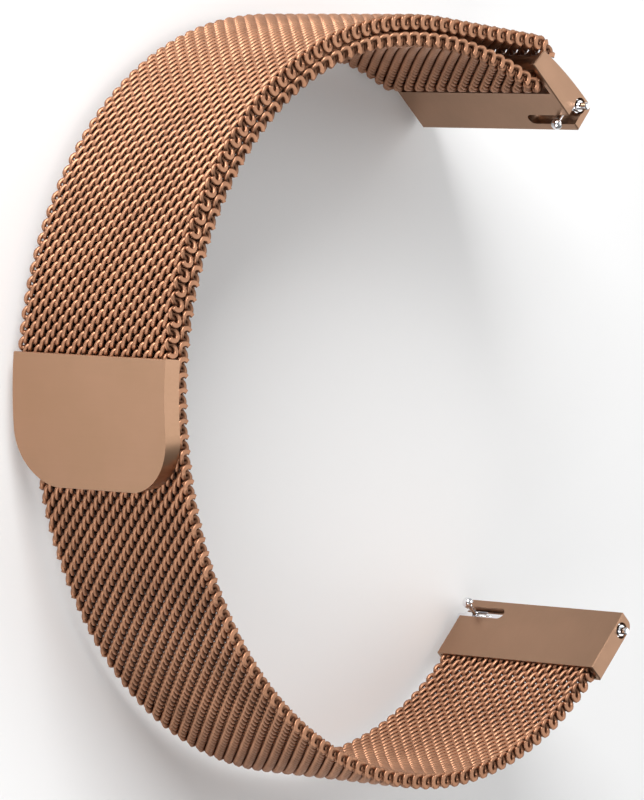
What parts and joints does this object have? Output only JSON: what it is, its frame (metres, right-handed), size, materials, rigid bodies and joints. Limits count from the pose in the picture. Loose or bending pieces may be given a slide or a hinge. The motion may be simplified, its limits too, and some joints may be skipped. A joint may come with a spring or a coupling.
{
  "type": "watch band",
  "caption": "Woven-steel watch band that folds back through a buckle onto a magnetic clasp, with a quick-release spring bar at each end.",
  "frame": {"origin": "middle of the band's outline, at the lowest spring-bar tip", "axes": "+Z across the band's width, up out of the edge it stands on; +X from the back of the loop towards its open side; +Y from the lower end piece towards the buckle"},
  "size_m": [0.0744, 0.0812, 0.0242],
  "materials": {
    "mesh": "satin rose-gold plating on woven wire",
    "fittings": "satin rose-gold plating",
    "clasp": "brushed rose-gold plating",
    "spring_bar": "bright drawn steel",
    "magnet": "nickel-plated magnet",
    "pole_plate": "plain steel"
  },
  "bodies": {
    "back": {"mesh_back": "mesh"},
    "lower_1": {"mesh_lower_1": "mesh"},
    "lower_2": {"mesh_lower_2": "mesh"},
    "lower_3": {"mesh_lower_3": "mesh"},
    "lower_4": {"mesh_lower_4": "mesh"},
    "lower_5": {"mesh_lower_5": "mesh"},
    "lower_end": {"mesh_lower_end": "mesh", "end_piece": "fittings", "end_mesh_retainer": "spring_bar", "end_bar_tube": "spring_bar", "end_bar_fixed_tip": "spring_bar", "end_bar_spring": "spring_bar"},
    "upper_1": {"mesh_inner_1": "mesh"},
    "upper_2": {"mesh_inner_2": "mesh", "mesh_outer_2": "mesh"},
    "upper_3": {"mesh_inner_3": "mesh", "mesh_outer_3": "mesh"},
    "upper_4": {"mesh_inner_4": "mesh", "mesh_outer_4": "mesh"},
    "buckle": {"mesh_fold": "mesh", "buckle_frame": "fittings", "buckle_bar_tube": "spring_bar", "buckle_bar_fixed_tip": "spring_bar", "buckle_bar_spring": "spring_bar"},
    "outer_link": {"mesh_outer_link": "mesh"},
    "outer_tail": {"mesh_outer_tail": "mesh"},
    "clasp": {"mesh_clasp_end": "mesh", "clasp_mesh_retainer": "spring_bar", "clasp_cover": "clasp", "clasp_back_plate": "clasp", "clasp_magnets": "magnet", "clasp_pole_plate": "pole_plate"},
    "end_plunger": {"end_bar_plunger": "spring_bar", "end_bar_lever": "spring_bar", "end_bar_knob": "spring_bar"},
    "buckle_plunger": {"buckle_bar_plunger": "spring_bar", "buckle_bar_lever": "spring_bar", "buckle_bar_knob": "spring_bar"}
  },
  "joints": [
    {"name": "lower_bend_1", "type": "hinge", "parent": "back", "child": "lower_1", "pos_m": [-0.03248, -0.00945, 0.0121], "axis": [0, 0, 1], "range_deg": [-20, 5]},
    {"name": "lower_bend_2", "type": "hinge", "parent": "lower_1", "child": "lower_2", "pos_m": [-0.02561, -0.02315, 0.0121], "axis": [0, 0, 1], "range_deg": [-20, 5]},
    {"name": "lower_bend_3", "type": "hinge", "parent": "lower_2", "child": "lower_3", "pos_m": [-0.0144, -0.03357, 0.0121], "axis": [0, 0, 1], "range_deg": [-20, 5]},
    {"name": "lower_bend_4", "type": "hinge", "parent": "lower_3", "child": "lower_4", "pos_m": [-0.00013, -0.0391, 0.0121], "axis": [0, 0, 1], "range_deg": [-20, 5]},
    {"name": "lower_bend_5", "type": "hinge", "parent": "lower_4", "child": "lower_5", "pos_m": [0.01516, -0.03876, 0.0121], "axis": [0, 0, 1], "range_deg": [-20, 5]},
    {"name": "lower_bend_6", "type": "hinge", "parent": "lower_5", "child": "lower_end", "pos_m": [0.02881, -0.03192, 0.0121], "axis": [0, 0, 1], "range_deg": [-20, 5]},
    {"name": "upper_bend_1", "type": "hinge", "parent": "back", "child": "upper_1", "pos_m": [-0.0349, 0.00664, 0.0121], "axis": [0, 0, -1], "range_deg": [-22, 5]},
    {"name": "upper_bend_2", "type": "hinge", "parent": "upper_1", "child": "upper_2", "pos_m": [-0.02945, 0.02214, 0.0121], "axis": [0, 0, -1], "range_deg": [-22, 5]},
    {"name": "upper_bend_3", "type": "hinge", "parent": "upper_2", "child": "upper_3", "pos_m": [-0.01771, 0.03365, 0.0121], "axis": [0, 0, -1], "range_deg": [-22, 5]},
    {"name": "upper_bend_4", "type": "hinge", "parent": "upper_3", "child": "upper_4", "pos_m": [-0.00197, 0.03838, 0.0121], "axis": [0, 0, -1], "range_deg": [-22, 5]},
    {"name": "upper_bend_5", "type": "hinge", "parent": "upper_4", "child": "buckle", "pos_m": [0.01432, 0.0363, 0.0121], "axis": [0, 0, -1], "range_deg": [-22, 5]},
    {"name": "outer_link_bend", "type": "hinge", "parent": "upper_2", "child": "outer_link", "pos_m": [-0.02945, 0.02214, 0.0121], "axis": [0, 0, -1], "range_deg": [-5, 22]},
    {"name": "clasp_peel", "type": "hinge", "parent": "outer_link", "child": "outer_tail", "pos_m": [-0.03181, 0.01981, 0.0121], "axis": [0, 0, -1], "range_deg": [0, 45]},
    {"name": "clasp_bend", "type": "hinge", "parent": "outer_tail", "child": "clasp", "pos_m": [-0.0349, 0.00664, 0.0121], "axis": [0, 0, -1], "range_deg": [-5, 22]},
    {"name": "end_bar_release", "type": "slide", "parent": "lower_end", "child": "end_plunger", "axis": [0, 0, 1], "range_m": [0, 0.0012], "stiffness_N_per_m": 800, "springref_m": -0.0008, "deforming": ["end_bar_spring"]},
    {"name": "buckle_bar_release", "type": "slide", "parent": "buckle", "child": "buckle_plunger", "axis": [0, 0, -1], "range_m": [0, 0.0012], "stiffness_N_per_m": 800, "springref_m": -0.0008, "deforming": ["buckle_bar_spring"]}
  ],
  "couplings": [
    {"joint": "lower_bend_2", "follows": "lower_bend_1", "ratio": 1},
    {"joint": "lower_bend_3", "follows": "lower_bend_1", "ratio": 1},
    {"joint": "lower_bend_4", "follows": "lower_bend_1", "ratio": 1},
    {"joint": "lower_bend_5", "follows": "lower_bend_1", "ratio": 1},
    {"joint": "lower_bend_6", "follows": "lower_bend_1", "ratio": 1},
    {"joint": "upper_bend_2", "follows": "upper_bend_1", "ratio": 1},
    {"joint": "upper_bend_3", "follows": "upper_bend_1", "ratio": 1},
    {"joint": "upper_bend_4", "follows": "upper_bend_1", "ratio": 1},
    {"joint": "upper_bend_5", "follows": "upper_bend_1", "ratio": 1},
    {"joint": "outer_link_bend", "follows": "upper_bend_1", "ratio": -1},
    {"joint": "clasp_bend", "follows": "upper_bend_1", "ratio": -1}
  ]
}
